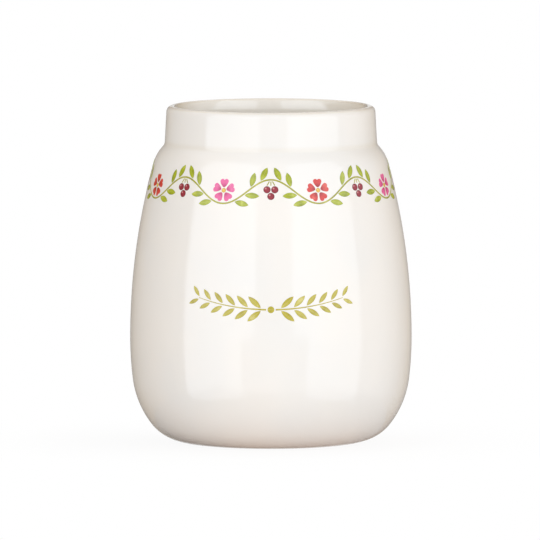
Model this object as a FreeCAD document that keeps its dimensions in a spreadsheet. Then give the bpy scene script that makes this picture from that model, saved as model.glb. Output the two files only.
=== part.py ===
import FreeCAD, Part
import math
import os
import Sketcher
from FreeCAD import Placement, Rotation, Vector

# A slip-cast utensil crock: a tall clay pot with a belly, a stepped shoulder and an upright collar,
# glazed inside and out but for its foot ring, with printed transfers fired on to the outer glaze.
# The origin is on the table under the middle of the foot, +Z is up and the front faces -Y.

# Driving sizes: millimetres, degrees where the note says so, and counts
SIZES = [
    ("overall_height", 170.0, "table to the crest of the lip"),
    ("collar_height", 18.25, "crest of the lip down to the collar's foot"),
    ("collar_radius", 53.5, "glazed outside of the collar at its foot"),
    ("collar_draft", 3.15, "degrees that the collar leans in"),
    ("step_radius", 3.6, "hollow round between collar and ledge"),
    ("ledge_length", 1.2, "straight part of the ledge under the collar"),
    ("ledge_lift", 40.6, "degrees that the ledge faces up from level"),
    ("shoulder_radius", 19.5, "round that turns the ledge into the belly"),
    ("belly_height", 53.2, "table to the widest part"),
    ("belly_swell", 17.5, "widest radius less the collar radius"),
    ("belly_turn", 6.9, "degrees turned by the long curve just under the widest part"),
    ("lower_turn_radius", 47.0, "curve between the belly and the rounded foot"),
    ("foot_turn", 52.5, "degrees turned by the rounded foot"),
    ("belly_tuck", 28.7, "widest radius less the radius where the underside runs flat"),
    ("lip_round", 3.1, "round of the lip's outside up to its crest"),
    ("crest_round", 1.15, "tight round inside the crest"),
    ("mouth_lift", 28.0, "degrees that the mouth's gentle round faces up where it meets the tight one"),
    ("clay_wall", 4.8, "fired clay"),
    ("glaze_coat", 0.4, "each coat of glaze"),
    ("foot_stand", 0.5, "foot ring below the glazed underside"),
    ("foot_inset", 4.8, "foot ring in from where the underside runs flat"),
    ("foot_width", 4.0, "bare foot ring"),
    ("foot_round", 0.6, "edges of the foot ring"),
    ("recess_depth", 1.4, "hollow inside the foot ring"),
    ("bare_margin", 1.0, "wiped clay beside the foot ring"),
    ("print_coat", 0.12, "each colour of the transfers"),
    ("print_gap", 0.3, "white left between two colours"),
    ("print_reach", 3.0, "overrun of a transfer's cutter through the glazed face"),
    ("garland_drop", 20.5, "collar's foot down to the garland's middle"),
    ("garland_waves", 8, "count of waves round the shoulder"),
    ("garland_sway", 6.0, "height of a wave's crest above the garland's middle"),
    ("stem_width", 0.8, "printed stem"),
    ("leaf_length", 7.5, "garland leaf"),
    ("leaf_width", 3.0, "garland leaf"),
    ("leaf_spread", 40.0, "degrees between a leaf and its stem"),
    ("blossom_radius", 5.8, "five-petalled blossom"),
    ("berry_radius", 1.8, "berry under a crest"),
    ("berry_stalk", 2.4, "stem down to the berries that hang from it"),
    ("sprig_rise", 23.0, "widest part up to the middle of the front sprig"),
    ("sprig_reach", 42.0, "middle of the sprig to its tip, round the pot"),
    ("sprig_curl", 6.5, "how much higher a branch ends than it starts"),
    ("sprig_leaf_length", 8.6, "leaf at the root of a branch"),
    ("sprig_leaf_width", 2.8, "leaf at the root of a branch"),
    ("sprig_pairs", 6, "count of leaf pairs on a branch"),
    ("sprig_bead_radius", 1.7, "bead between the two branches"),
]

# Shares of a blossom's radius at which a petal's outline turns: distance out, then to the side
PETAL_ROOT_SHARES = (0.26, 0.05)
PETAL_FLANK_SHARES = (0.50, 0.27)
PETAL_CORNER_SHARES = (0.76, 0.39)
PETAL_LOBE_SHARES = (0.985, 0.25)
PETAL_NOTCH_SHARES = (0.90, 0.0)
EYE_SHARE = 0.20
PETAL_COUNT = 5

# Where the garland's leaves grow, as shares of a wave counted from its trough, and on which side
LEAF_PHASE_SHARES = ((0.12, -1), (0.22, -1), (0.30, 1), (0.40, 1))

# A leaf's widest place and a branch's ends, as shares of their length, how much a branch's leaves and
# stem shrink to its tip, and how wide a berry's stalk is beside the stem
LEAF_BELLY_SHARE = 0.46
BRANCH_START_SHARE = 0.12
BRANCH_END_SHARE = 0.90
TIP_LEAF_SHARE = 0.72
TIP_STEM_SHARE = 0.35
STALK_SHARE = 0.6

STEM_STEPS = 24
ANGLE_ROUNDS = 30
RIGHT_ANGLE = 90.0
FULL_TURN = 360.0
TRIANGLE_ANGLE = 60.0

doc = FreeCAD.newDocument("utensil_crock")
sheet = doc.addObject("Spreadsheet::Sheet", "Sizes")
for row, (alias, value, note) in enumerate(SIZES, start=1):
    sheet.set(f"A{row}", alias)
    sheet.set(f"B{row}", str(value))
    sheet.set(f"C{row}", note)
    sheet.setAlias(f"B{row}", alias)
doc.recompute()


def size(expression):
    """The value of an expression on the sheet's names."""
    return float(sheet.evalExpression(expression))


# Expressions shared by several pieces; a depth is measured inwards from the glazed outer face
BELLY_RADIUS = "(Sizes.collar_radius + Sizes.belly_swell)"
FLAT_RADIUS = f"({BELLY_RADIUS} - Sizes.belly_tuck)"
FOOT_OUTSIDE = f"({FLAT_RADIUS} - Sizes.foot_inset)"
FOOT_INSIDE = f"({FOOT_OUTSIDE} - Sizes.foot_width)"
COLLAR_FOOT = "(Sizes.overall_height - Sizes.collar_height)"
GLAZED_FACE = "0"
CLAY_FACE = "Sizes.glaze_coat"
CLAY_INSIDE = "(Sizes.glaze_coat + Sizes.clay_wall)"
GLAZED_INSIDE = "(2 * Sizes.glaze_coat + Sizes.clay_wall)"
COLLAR_RISE = "(Sizes.collar_height - Sizes.lip_round * (1 - sin(Sizes.collar_draft)))"
CREST_REACH = (f"(Sizes.collar_radius - {COLLAR_RISE} * tan(Sizes.collar_draft)"
               " - Sizes.lip_round * cos(Sizes.collar_draft))")

START, END, CENTRE = range(1, 4)
LEVEL_AXIS, UPRIGHT_AXIS = range(-1, -3, -1)
ORIGIN = (LEVEL_AXIS, START)


def normal(degrees):
    """Direction, in the sketch, of a face that looks up by so many degrees from level."""
    angle = math.radians(degrees)
    return Vector(math.cos(angle), math.sin(angle), 0)


class Outline:
    """A sketch for turning, drawn as runs of lines and arcs that meet end to end."""

    def __init__(self, body, name):
        self.sketch = body.newObject("Sketcher::SketchObject", name)
        plane = next(f for f in body.Origin.OriginFeatures if f.Role == "XZ_Plane")
        self.sketch.AttachmentSupport = [(plane, "")]
        self.sketch.MapMode = "FlatFace"
        self.point = Vector()
        self.tail = None
        self.counts = 0

    def start(self, radius, height):
        """Begins a new run at a place on the sketch."""
        self.point = Vector(radius, height, 0)
        self.tail = None

    def rule(self, kind, *parts):
        """Adds a rule with no size, such as Coincident or Vertical."""
        return self.sketch.addConstraint(Sketcher.Constraint(kind, *parts))

    def bind(self, kind, *parts):
        """Adds a rule whose size, the last part, is an expression on the sheet."""
        *places, expression = parts
        value = size(expression)
        if kind == "Angle":
            value = math.radians(value)
        index = self.rule(kind, *places, value)
        self.counts += 1
        name = f"{kind.lower()}_{self.counts}"
        self.sketch.renameConstraint(index, name)
        self.sketch.setExpression(f"Constraints.{name}", expression)

    def join(self, head):
        """Makes a new piece leave the last one smoothly."""
        if self.tail:
            self.rule("Tangent", *self.tail, *head)

    def line(self, direction, length):
        """A straight piece from the present place."""
        goal = self.point + direction * length
        piece = self.sketch.addGeometry(Part.LineSegment(self.point, goal))
        self.join((piece, START))
        self.point = goal
        self.tail = (piece, END)
        return piece

    def arc(self, radius, before, after):
        """An arc that turns the face's look from one angle to another."""
        hollow = after < before
        reach = -radius if hollow else radius
        middle = self.point - normal(before) * reach
        turn = 180.0 if hollow else 0.0
        angles = sorted((math.radians(before + turn), math.radians(after + turn)))
        circle = Part.Circle(middle, Vector(0, 0, 1), radius)
        piece = self.sketch.addGeometry(Part.ArcOfCircle(circle, *angles))
        head, tail = (END, START) if hollow else (START, END)
        self.join((piece, head))
        self.point = middle + normal(after) * reach
        self.tail = (piece, tail)
        return piece

    def link(self, head, tail):
        """A straight piece between two ends that are already placed."""
        ends = [self.sketch.getPoint(*end) for end in (head, tail)]
        piece = self.sketch.addGeometry(Part.LineSegment(*ends))
        self.rule("Coincident", piece, START, *head)
        self.rule("Coincident", piece, END, *tail)
        return piece


def lower_radii():
    """Radii of the rounded foot and of the long curve under the widest part, which close the side."""
    corner = math.radians(RIGHT_ANGLE - size("Sizes.foot_turn"))
    upper = math.radians(size("Sizes.belly_turn"))
    turn = size("Sizes.lower_turn_radius")
    inward = size("Sizes.belly_tuck") - turn * (math.cos(upper) - math.cos(corner))
    upward = size("Sizes.belly_height - Sizes.foot_stand") - turn * (math.sin(corner) - math.sin(upper))
    foot_in, foot_up = math.cos(corner), 1 - math.sin(corner)
    long_in, long_up = 1 - math.cos(upper), math.sin(upper)
    scale = foot_in * long_up - foot_up * long_in
    foot = (inward * long_up - upward * long_in) / scale
    long_curve = (foot_in * upward - foot_up * inward) / scale
    return foot, long_curve


def upper_curve():
    """Radius of the belly's upper curve and the angle at which it meets the shoulder round."""
    draft, ledge = (math.radians(size(f"Sizes.{name}")) for name in ("collar_draft", "ledge_lift"))
    step, straight = size("Sizes.step_radius"), size("Sizes.ledge_length")
    shoulder = size("Sizes.shoulder_radius")
    ledge_out = step * (math.cos(draft) - math.cos(ledge)) + straight * math.sin(ledge)
    ledge_down = step * (math.sin(ledge) - math.sin(draft)) + straight * math.cos(ledge)
    angle = 0.0
    for _ in range(ANGLE_ROUNDS):
        swell = size("Sizes.belly_swell") - ledge_out - shoulder * (math.cos(angle) - math.cos(ledge))
        rise = (size(f"{COLLAR_FOOT} - Sizes.belly_height") - ledge_down
                - shoulder * (math.sin(ledge) - math.sin(angle)))
        angle = 2 * math.atan2(swell, rise)
    return rise / math.sin(angle), math.degrees(angle)


def mouth_sizes():
    """Radius of the gentle round that opens the mouth, and how much lower the wall ends inside it."""
    draft = math.radians(size("Sizes.collar_draft"))
    turn = math.radians(size("Sizes.mouth_lift + Sizes.collar_draft"))
    lip, crest = size("Sizes.lip_round"), size("Sizes.crest_round")
    spare = size(GLAZED_INSIDE) - lip * (1 - math.sin(draft)) - crest * (math.sin(draft) + math.cos(turn))
    radius = spare / (1 - math.cos(turn))
    drop = radius * math.sin(turn) - lip * math.cos(draft) + crest * (math.cos(draft) - math.sin(turn))
    return radius, drop


def side_run(outline, depth, start_radius, top_drop=0.0):
    """The crock's side from its flat underside to the top of the collar, at a depth in the wall."""
    inside = size(depth)
    draft, ledge = size("Sizes.collar_draft"), size("Sizes.ledge_lift")
    foot_angle = size("Sizes.foot_turn") - RIGHT_ANGLE
    long_angle = -size("Sizes.belly_turn")
    foot_radius, long_radius = lower_radii()
    upper_radius, shoulder_angle = upper_curve()
    flat_end = size(FLAT_RADIUS)
    flat_start = size(start_radius)

    outline.start(flat_start, size("Sizes.foot_stand") + inside)
    flat = outline.line(Vector(1, 0, 0), flat_end - flat_start)
    foot = outline.arc(foot_radius - inside, -RIGHT_ANGLE, foot_angle)
    turn = outline.arc(size("Sizes.lower_turn_radius") - inside, foot_angle, long_angle)
    long_curve = outline.arc(long_radius - inside, long_angle, 0)
    upper = outline.arc(upper_radius - inside, 0, shoulder_angle)
    shoulder = outline.arc(size("Sizes.shoulder_radius") - inside, shoulder_angle, ledge)
    ledge_line = outline.line(normal(ledge + RIGHT_ANGLE), size("Sizes.ledge_length"))
    step = outline.arc(size("Sizes.step_radius") + inside, ledge, draft)
    collar = outline.line(normal(draft + RIGHT_ANGLE),
                          size(f"{COLLAR_RISE} / cos(Sizes.collar_draft)") - top_drop)

    outline.rule("Horizontal", flat)
    outline.bind("DistanceY", *ORIGIN, flat, START, f"Sizes.foot_stand + {depth}")
    if flat_start:
        outline.bind("DistanceX", *ORIGIN, flat, START, start_radius)
    else:
        outline.rule("PointOnObject", flat, START, UPRIGHT_AXIS)
    outline.bind("DistanceX", *ORIGIN, flat, END, FLAT_RADIUS)
    outline.bind("Angle", foot, "Sizes.foot_turn")
    outline.bind("Radius", turn, f"Sizes.lower_turn_radius - {depth}")
    outline.bind("Angle", long_curve, "Sizes.belly_turn")
    outline.bind("DistanceX", *ORIGIN, long_curve, END, f"{BELLY_RADIUS} - {depth}")
    outline.bind("DistanceY", *ORIGIN, long_curve, END, "Sizes.belly_height")
    outline.rule("Horizontal", long_curve, CENTRE, long_curve, END)
    outline.bind("Radius", shoulder, f"Sizes.shoulder_radius - {depth}")
    outline.bind("Angle", ledge_line, f"{RIGHT_ANGLE} + Sizes.ledge_lift")
    outline.bind("Distance", ledge_line, "Sizes.ledge_length")
    outline.bind("Radius", step, f"Sizes.step_radius + {depth}")
    outline.bind("Angle", collar, f"{RIGHT_ANGLE} + Sizes.collar_draft")
    outline.bind("DistanceX", *ORIGIN, collar, START,
                 f"Sizes.collar_radius - {depth} * cos(Sizes.collar_draft)")
    outline.bind("DistanceY", *ORIGIN, collar, START,
                 f"{COLLAR_FOOT} - {depth} * sin(Sizes.collar_draft)")
    return {"start": (flat, START), "upper": upper}


def outer_wall(outline, depth, start_radius):
    """The outside at a depth in the wall: the side, then the lip's round up to its crest."""
    run = side_run(outline, depth, start_radius)
    radius = f"Sizes.lip_round - {depth}"
    lip = outline.arc(size(radius), size("Sizes.collar_draft"), RIGHT_ANGLE)
    run["crest"] = outline.tail
    outline.bind("Radius", lip, radius)
    outline.rule("Vertical", lip, CENTRE, *run["crest"])
    outline.bind("DistanceY", *ORIGIN, *run["crest"], f"Sizes.overall_height - {depth}")
    return run


def inner_wall(outline, depth, crest_end=None):
    """The inside at a depth in the wall: the side, the mouth's gentle round and the crest's tight one."""
    cover = f"({GLAZED_INSIDE} - {depth})"
    tight_radius = f"Sizes.crest_round - {cover}"
    mouth_radius, drop = mouth_sizes()
    lift = size("Sizes.mouth_lift")
    run = side_run(outline, depth, GLAZED_FACE, drop)
    outline.arc(mouth_radius - size(cover), size("Sizes.collar_draft"), -lift)
    tight = outline.arc(size(tight_radius), -lift, -RIGHT_ANGLE)
    run["crest"] = outline.tail
    outline.bind("Radius", tight, tight_radius)
    outline.bind("Angle", tight, f"{RIGHT_ANGLE} - Sizes.mouth_lift")
    outline.rule("Vertical", tight, CENTRE, *run["crest"])
    if crest_end:
        outline.rule("Coincident", *run["crest"], *crest_end)
    else:
        outline.bind("DistanceX", *ORIGIN, *run["crest"], CREST_REACH)
        outline.bind("DistanceY", *ORIGIN, *run["crest"], f"Sizes.overall_height - {cover}")
    return run


def turned(label, draw):
    """A body turned about the upright axis from the outline that a function draws on it."""
    body = doc.addObject("PartDesign::Body", label)
    body.Label = label
    outline = Outline(body, f"{label}_outline")
    upper = draw(outline)
    turning = body.newObject("PartDesign::Revolution", f"{label}_turning")
    turning.Profile = outline.sketch
    turning.ReferenceAxis = (outline.sketch, ["V_Axis"])
    turning.Angle = FULL_TURN
    doc.recompute()
    return body, outline.sketch, upper


def draw_clay(outline):
    """The casting: side, foot ring, recessed base, inside and round lip."""
    outside = outer_wall(outline, CLAY_FACE, FOOT_OUTSIDE)
    inside = inner_wall(outline, CLAY_INSIDE, outside["crest"])

    ring, width, recess = size(FOOT_OUTSIDE), size("Sizes.foot_width"), size("Sizes.recess_depth")
    corners = [Vector(ring, 0, 0), Vector(ring - width, 0, 0), Vector(ring - width, recess, 0),
               Vector(0, recess, 0)]
    edges = [outline.sketch.addGeometry(Part.LineSegment(*pair)) for pair in zip(corners, corners[1:])]
    sole, hollow_side, hollow_roof = edges
    outer_side = outline.link(outside["start"], (sole, START))
    axis = outline.link((hollow_roof, END), inside["start"])
    outline.rule("Coincident", sole, END, hollow_side, START)
    outline.rule("Coincident", hollow_side, END, hollow_roof, START)
    for upright in (outer_side, hollow_side, axis):
        outline.rule("Vertical", upright)
    outline.rule("Horizontal", sole)
    outline.rule("Horizontal", hollow_roof)
    outline.rule("PointOnObject", sole, END, LEVEL_AXIS)
    outline.bind("Distance", sole, "Sizes.foot_width")
    outline.bind("DistanceY", *ORIGIN, hollow_roof, END, "Sizes.recess_depth")
    return outside["upper"]


def draw_coat(outline, near, far):
    """A coat of glaze between two walls that are drawn, from the base to the crest of the lip."""
    outline.link(near["crest"], far["crest"])
    outline.link(near["start"], far["start"])
    return near["upper"]


def draw_outer_coat(outline):
    """The glaze outside, from beside the foot ring."""
    edge = f"({FOOT_OUTSIDE} + Sizes.bare_margin)"
    return draw_coat(outline, *(outer_wall(outline, depth, edge) for depth in (GLAZED_FACE, CLAY_FACE)))


def draw_inner_coat(outline):
    """The glaze inside, from the middle of the floor."""
    return draw_coat(outline, *(inner_wall(outline, depth) for depth in (CLAY_INSIDE, GLAZED_INSIDE)))


def clay_body():
    """The clay casting, with the edges of its foot ring rounded."""
    body, _, _ = turned("clay_body", draw_clay)
    turning = body.Tip
    rims = [f"Edge{number}" for number, edge in enumerate(turning.Shape.Edges, start=1)
            if isinstance(edge.Curve, Part.Circle) and edge.BoundBox.ZMax < size("Sizes.foot_stand") / 2]
    rounding = body.newObject("PartDesign::Fillet", "foot_rounding")
    rounding.Base = (turning, rims)
    rounding.setExpression("Radius", "Sizes.foot_round")


def base_glaze():
    """The glazed disc in the hollow inside the foot ring."""
    disc = doc.addObject("Part::Cylinder", "base_glaze")
    disc.Label = "base_glaze"
    disc.setExpression("Radius", f"{FOOT_INSIDE} - Sizes.bare_margin")
    disc.setExpression("Height", "Sizes.glaze_coat")
    disc.setExpression("Placement.Base.z", "Sizes.recess_depth - Sizes.glaze_coat")


class Shoulder:
    """The upper curve of the glazed belly, where the transfers lie."""

    def __init__(self, curve):
        self.middle = curve.Center
        self.radius = curve.Radius
        ends = sorted((curve.StartPoint.y, curve.EndPoint.y))
        self.skin = self.turn_skin(*ends)

    def lift(self, height):
        """Angle by which the face looks up at a height."""
        return math.asin((height - self.middle.y) / self.radius)

    def reach(self, height, proud=0.0):
        """Distance from the upright axis to the face, or to a place proud of it."""
        return self.middle.x + (self.radius + proud) * math.cos(self.lift(height))

    def turn_skin(self, low, high):
        """A thin skin on the glazed face, which the transfers are cut from."""
        coat = size("Sizes.print_coat")
        corners = []
        for proud in (0.0, coat):
            for share in (0.0, 0.5, 1.0):
                angle = self.lift(low) + share * (self.lift(high) - self.lift(low))
                distance = self.radius + proud
                corners.append(Vector(self.middle.x + distance * math.cos(angle), 0,
                                      self.middle.y + distance * math.sin(angle)))
        inner, outer = corners[:3], corners[3:]
        edges = [Part.Arc(*inner).toShape(), Part.LineSegment(inner[2], outer[2]).toShape(),
                 Part.Arc(*outer[::-1]).toShape(), Part.LineSegment(outer[0], inner[0]).toShape()]
        return Part.Face(Part.Wire(edges)).revolve(Vector(), Vector(0, 0, 1), FULL_TURN)

    def place(self, azimuth, height):
        """Frame on the face: X to the right, Y up along it and Z out of it; azimuth 0 is the front."""
        turn = Rotation(Vector(0, 0, 1), azimuth)
        tilt = Rotation(Vector(1, 0, 0), RIGHT_ANGLE - math.degrees(self.lift(height)))
        return Placement(turn.multVec(Vector(0, -self.reach(height), height)), turn * tilt)

    def spot(self, wire, azimuth, height):
        """The patch of skin inside an outline that is drawn flat at a place on the face."""
        reach = size("Sizes.print_reach")
        cutter = Part.Face(wire).extrude(Vector(0, 0, 2 * reach))
        cutter.translate(Vector(0, 0, -reach))
        cutter.Placement = self.place(azimuth, height) * cutter.Placement
        return self.skin.common(cutter).Solids

    def strip(self, path, first, last, widths):
        """A narrow printed line along a path of azimuth and height, as wide as its two ends say."""
        reach = size("Sizes.print_reach")
        sections = []
        for step in range(STEM_STEPS + 1):
            share = step / STEM_STEPS
            azimuth = first + share * (last - first)
            height, slope = path(azimuth)
            half = (widths[0] + share * (widths[1] - widths[0])) / 2 / math.cos(slope)
            turn = Rotation(Vector(0, 0, 1), azimuth)
            near, far = self.reach(height) - reach, self.reach(height) + reach
            corners = [turn.multVec(Vector(0, -distance, height + side))
                       for distance, side in ((near, -half), (far, -half), (far, half), (near, half))]
            sections.append(Part.makePolygon(corners + corners[:1]))
        return self.skin.common(Part.makeLoft(sections, True, True)).Solids


def circle_wire(radius, middle=Vector()):
    """A round outline."""
    return Part.Wire(Part.Circle(middle, Vector(0, 0, 1), radius).toShape())


def leaf_wire(base, heading, length, width):
    """A pointed leaf that grows from a base along a heading in radians."""
    along = Vector(math.cos(heading), math.sin(heading), 0)
    across = Vector(-along.y, along.x, 0)
    tip = base + along * length
    belly = base + along * length * LEAF_BELLY_SHARE
    sides = [Part.Arc(base, belly + across * width / 2, tip), Part.Arc(tip, belly - across * width / 2, base)]
    return Part.Wire([side.toShape() for side in sides])


def stalk_wire(root, foot, width):
    """A thin straight stalk between two points."""
    along = (foot - root).normalize()
    across = Vector(-along.y, along.x, 0) * width / 2
    corners = [root + across, foot + across, foot - across, root - across]
    return Part.makePolygon(corners + corners[:1])


def petal_wire(radius, heading):
    """A notched petal of a blossom, along a heading in degrees."""
    def corner(shares, side):
        return Vector(shares[0], side * shares[1], 0) * radius

    right = [corner(shares, -1) for shares in
             (PETAL_ROOT_SHARES, PETAL_FLANK_SHARES, PETAL_CORNER_SHARES, PETAL_LOBE_SHARES)]
    left = [corner(shares, 1) for shares in
            (PETAL_ROOT_SHARES, PETAL_FLANK_SHARES, PETAL_CORNER_SHARES, PETAL_LOBE_SHARES)]
    notch = corner(PETAL_NOTCH_SHARES, 0)
    edges = [Part.Arc(right[0], right[1], right[2]), Part.Arc(right[2], right[3], notch),
             Part.Arc(notch, left[3], left[2]), Part.Arc(left[2], left[1], left[0]),
             Part.LineSegment(left[0], right[0])]
    wire = Part.Wire([edge.toShape() for edge in edges])
    wire.rotate(Vector(), Vector(0, 0, 1), heading)
    return wire


def printed(label, solids):
    """One colour of the transfers: a group of separate spots of ink on the glaze."""
    node = doc.addObject("Part::Feature", label)
    node.Label = label
    node.Shape = Part.Compound(solids)
    node.Placement = Placement()


def round_pot(solids, azimuths):
    """Copies of some spots, turned round the pot."""
    copies = []
    for azimuth in azimuths:
        for solid in solids:
            copy = solid.copy()
            copy.rotate(Vector(), Vector(0, 0, 1), azimuth)
            copies.append(copy)
    return copies


def mirrored(solids):
    """The spots and their images on the other side of the front's middle."""
    return solids + [solid.mirror(Vector(), Vector(1, 0, 0)) for solid in solids]


class Garland:
    """The wavy garland round the shoulder; its first trough is at azimuth 0."""

    def __init__(self, shoulder):
        self.shoulder = shoulder
        self.waves = int(round(size("Sizes.garland_waves")))
        self.span = FULL_TURN / self.waves
        self.middle = size(f"{COLLAR_FOOT} - Sizes.garland_drop")
        self.sway = size("Sizes.garland_sway")
        self.clear = size("Sizes.stem_width / 2 + Sizes.print_gap")
        half_turn = self.span / 2
        self.places = [half_turn + self.span * wave for wave in range(self.waves)]

    def path(self, azimuth):
        """Height and slope of the stem at an azimuth."""
        phase = math.radians(azimuth * self.waves)
        height = self.middle - self.sway * math.cos(phase)
        slope = math.atan2(self.sway * self.waves * math.sin(phase), self.shoulder.reach(height))
        return height, slope

    def stems(self):
        """One wave of the stem, from crest to crest."""
        width = size("Sizes.stem_width")
        return self.shoulder.strip(self.path, -self.span / 2, self.span / 2, (width, width))

    def leaves(self):
        """The leaves of one wave, on both sides of its trough."""
        length, width = size("Sizes.leaf_length"), size("Sizes.leaf_width")
        spread = math.radians(size("Sizes.leaf_spread"))
        solids = []
        for share, side in LEAF_PHASE_SHARES:
            azimuth = share * self.span
            height, slope = self.path(azimuth)
            base = Vector(-math.sin(slope), math.cos(slope), 0) * side * self.clear
            wire = leaf_wire(base, slope + side * spread, length, width)
            solids += self.shoulder.spot(wire, azimuth, height)
        return mirrored(solids)

    def blossom_height(self):
        """Height of a blossom's eye, over a trough."""
        return self.middle - self.sway + self.clear + size("Sizes.blossom_radius")

    def petals(self):
        """The five petals of the blossom over one trough."""
        solids = []
        for number in range(PETAL_COUNT):
            heading = RIGHT_ANGLE + FULL_TURN * number / PETAL_COUNT
            wire = petal_wire(size("Sizes.blossom_radius"), heading)
            solids += self.shoulder.spot(wire, 0, self.blossom_height())
        return solids

    def eyes(self):
        """The eye of the blossom over one trough."""
        wire = circle_wire(size("Sizes.blossom_radius") * EYE_SHARE)
        return self.shoulder.spot(wire, 0, self.blossom_height())

    def berry_height(self):
        """Height of the upper two berries under a crest."""
        return self.middle + self.sway - self.clear - size("Sizes.berry_stalk + Sizes.berry_radius")

    def berry_centres(self):
        """Middles of three berries, seen from halfway between the upper two."""
        apart = size("2 * Sizes.berry_radius + Sizes.print_gap")
        drop = apart * math.sin(math.radians(TRIANGLE_ANGLE))
        return [Vector(-apart / 2, 0, 0), Vector(0, -drop, 0), Vector(apart / 2, 0, 0)]

    def berries(self):
        """Three berries that hang under one crest."""
        solids = []
        for centre in self.berry_centres():
            wire = circle_wire(size("Sizes.berry_radius"), centre)
            solids += self.shoulder.spot(wire, self.span / 2, self.berry_height())
        return solids

    def stalks(self):
        """Three short stalks that fan out from one crest to its berries."""
        radius, gap = size("Sizes.berry_radius"), size("Sizes.print_gap")
        width = size("Sizes.stem_width") * STALK_SHARE
        solids = []
        for side, centre in zip((-1, 0, 1), self.berry_centres()):
            root = Vector(side * (width + gap), radius + size("Sizes.berry_stalk"), 0)
            wire = stalk_wire(root, Vector(centre.x, radius + gap, 0), width)
            solids += self.shoulder.spot(wire, self.span / 2, self.berry_height())
        return solids

    def print_all(self):
        """The garland's colours, each round the whole pot."""
        fronts = self.places
        petals = self.petals()
        printed("stem_print", round_pot(self.stems() + self.stalks(), fronts))
        printed("leaf_print", round_pot(self.leaves(), fronts))
        printed("red_petal_print", round_pot(petals, fronts[0::2]))
        printed("pink_petal_print", round_pot(petals, fronts[1::2]))
        printed("blossom_eye_print", round_pot(self.eyes(), fronts))
        printed("berry_print", round_pot(self.berries(), fronts))


def sprig_print(shoulder):
    """The leafy sprig on the front: two branches and a bead between them."""
    middle = size("Sizes.belly_height + Sizes.sprig_rise")
    turn = math.degrees(size("Sizes.sprig_reach") / shoulder.reach(middle))
    curl, bead = size("Sizes.sprig_curl"), size("Sizes.sprig_bead_radius")
    width, clear = size("Sizes.stem_width"), size("Sizes.stem_width / 2 + Sizes.print_gap")
    spread = math.radians(size("Sizes.leaf_spread"))
    low = middle - curl / 2

    def path(azimuth):
        share = azimuth / turn
        slope = math.atan2(2 * curl * share, math.radians(turn) * shoulder.reach(middle))
        return low + curl * share * share, slope

    first = math.degrees((bead + clear) / shoulder.reach(low))
    solids = shoulder.strip(path, first, turn * BRANCH_END_SHARE, (width, width * TIP_STEM_SHARE))
    pairs = int(round(size("Sizes.sprig_pairs")))
    for number in range(pairs):
        along = number / (pairs - 1)
        share = BRANCH_START_SHARE + along * (BRANCH_END_SHARE - BRANCH_START_SHARE)
        shrink = 1 + along * (TIP_LEAF_SHARE - 1)
        height, slope = path(share * turn)
        for side in (-1, 1):
            base = Vector(-math.sin(slope), math.cos(slope), 0) * side * clear
            wire = leaf_wire(base, slope + side * spread, size("Sizes.sprig_leaf_length") * shrink,
                             size("Sizes.sprig_leaf_width") * shrink)
            solids += shoulder.spot(wire, share * turn, height)
    printed("sprig_print", mirrored(solids) + shoulder.spot(circle_wire(bead), 0, low))


clay_body()
_, coat_sketch, coat_curve = turned("outer_glaze", draw_outer_coat)
turned("inner_glaze", draw_inner_coat)
base_glaze()
shoulder_face = Shoulder(coat_sketch.Geometry[coat_curve])
Garland(shoulder_face).print_all()
sprig_print(shoulder_face)
doc.recompute()

pieces = [item for item in doc.Objects
          if item.isDerivedFrom("PartDesign::Body") or item.TypeId in ("Part::Cylinder", "Part::Feature")]
for item in doc.Objects:
    if any(state in ("Invalid", "Error") for state in item.State):
        raise RuntimeError(f"{item.Label} did not build: {item.State}")
for piece in pieces:
    if piece.Shape.isNull() or not piece.Shape.isValid() or not piece.Shape.Solids:
        raise RuntimeError(f"{piece.Label} has no sound solid")

os.makedirs("parts", exist_ok=True)
for piece in pieces:
    piece.Shape.exportStep(f"parts/{piece.Label}.step")
    print(f"{piece.Label}: {len(piece.Shape.Solids)} solids, {piece.Shape.Volume:.2f} mm3")
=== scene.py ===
import math

import bpy
from mathutils import Matrix, Vector


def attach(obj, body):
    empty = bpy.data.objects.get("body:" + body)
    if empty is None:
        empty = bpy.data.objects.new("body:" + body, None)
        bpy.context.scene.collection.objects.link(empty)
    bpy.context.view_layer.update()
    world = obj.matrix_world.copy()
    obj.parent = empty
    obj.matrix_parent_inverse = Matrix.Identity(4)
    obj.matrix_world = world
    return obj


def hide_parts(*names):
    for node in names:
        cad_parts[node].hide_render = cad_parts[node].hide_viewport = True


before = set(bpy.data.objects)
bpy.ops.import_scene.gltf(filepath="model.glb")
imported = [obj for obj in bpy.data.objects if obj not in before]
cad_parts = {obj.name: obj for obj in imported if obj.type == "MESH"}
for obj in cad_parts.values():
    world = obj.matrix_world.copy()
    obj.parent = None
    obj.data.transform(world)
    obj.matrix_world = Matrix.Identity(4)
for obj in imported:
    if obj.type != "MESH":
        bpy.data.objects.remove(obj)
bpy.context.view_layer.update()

RIGHT_ANGLE = math.pi / 2
FULL_TURN = 2 * math.pi
UP = Vector((0, 0, 1))

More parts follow.
